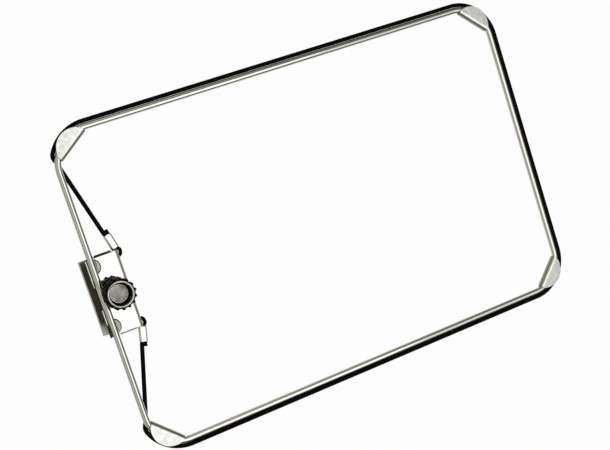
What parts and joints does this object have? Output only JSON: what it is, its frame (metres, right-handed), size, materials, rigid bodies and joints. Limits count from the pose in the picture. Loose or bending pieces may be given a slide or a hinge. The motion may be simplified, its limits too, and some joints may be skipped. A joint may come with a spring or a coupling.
{
  "type": "filter_frame_clamp",
  "caption": "Bright round-rod filter frame with a black elastic cord and folded corner guides, swinging on a screw clamp with a ribbed black knob",
  "frame": {"origin": "middle of the clamp's slot, straight behind the rod that the clamp carries", "axes": "X from the clamp across the frame, Y along the rod that the clamp carries, Z from the jaw to the knob"},
  "size_m": [0.3105, 0.2076, 0.033],
  "materials": {
    "rod_chrome": "bright plated round steel rod",
    "guide_sheet": "plated sheet with fine brushing",
    "plated_sheet": "bright plated bent sheet",
    "plated_turned": "plated turned steel",
    "sleeve_metal": "soft bright sleeve, pressed flat",
    "elastic_cord": "black braided cover over elastic strands",
    "pad_rubber": "dull dark olive rubber",
    "knob_plastic": "moulded black plastic",
    "knob_trim": "bright turned trim",
    "screw_steel": "zinc plated steel",
    "clip_steel": "dark spring steel",
    "jaw_steel": "plated steel"
  },
  "bodies": {
    "bracket": {"bracket_plate": "plated_sheet", "plate_pad": "pad_rubber", "spacer_collar": "plated_turned", "pressure_washer": "clip_steel", "upper_cord_tail": "elastic_cord", "lower_cord_tail": "elastic_cord", "upper_crimp_sleeve": "sleeve_metal", "lower_crimp_sleeve": "sleeve_metal"},
    "knob": {"knob_body": "knob_plastic", "knob_rim_ring": "knob_trim", "knob_cap": "knob_trim", "clamp_screw": "screw_steel", "retaining_clip": "clip_steel"},
    "jaw": {"clamp_jaw": "jaw_steel", "jaw_pad": "pad_rubber", "jaw_nut": "screw_steel"},
    "frame": {"frame_rod": "rod_chrome", "elastic_band": "elastic_cord", "corner_guide_near_top": "guide_sheet", "corner_guide_near_bottom": "guide_sheet", "corner_guide_far_top": "guide_sheet", "corner_guide_far_bottom": "guide_sheet"}
  },
  "joints": [
    {"name": "frame_swing", "type": "hinge", "parent": "bracket", "child": "frame", "pos_m": [0, 0, 0.0078], "axis": [0, -1, 0], "range_deg": [-90, 90], "deforming": ["upper_cord_tail", "lower_cord_tail"]},
    {"name": "knob_turn", "type": "hinge", "parent": "bracket", "child": "knob", "pos_m": [0.0085, 0, 0.0165], "axis": [0, 0, -1], "range_deg": [0, 2160]},
    {"name": "jaw_slide", "type": "slide", "parent": "bracket", "child": "jaw", "axis": [0, 0, 1], "range_m": [0, 0.006]}
  ],
  "couplings": [
    {"joint": "jaw_slide", "follows": "knob_turn", "m_per_rad": 0.00015915}
  ]
}
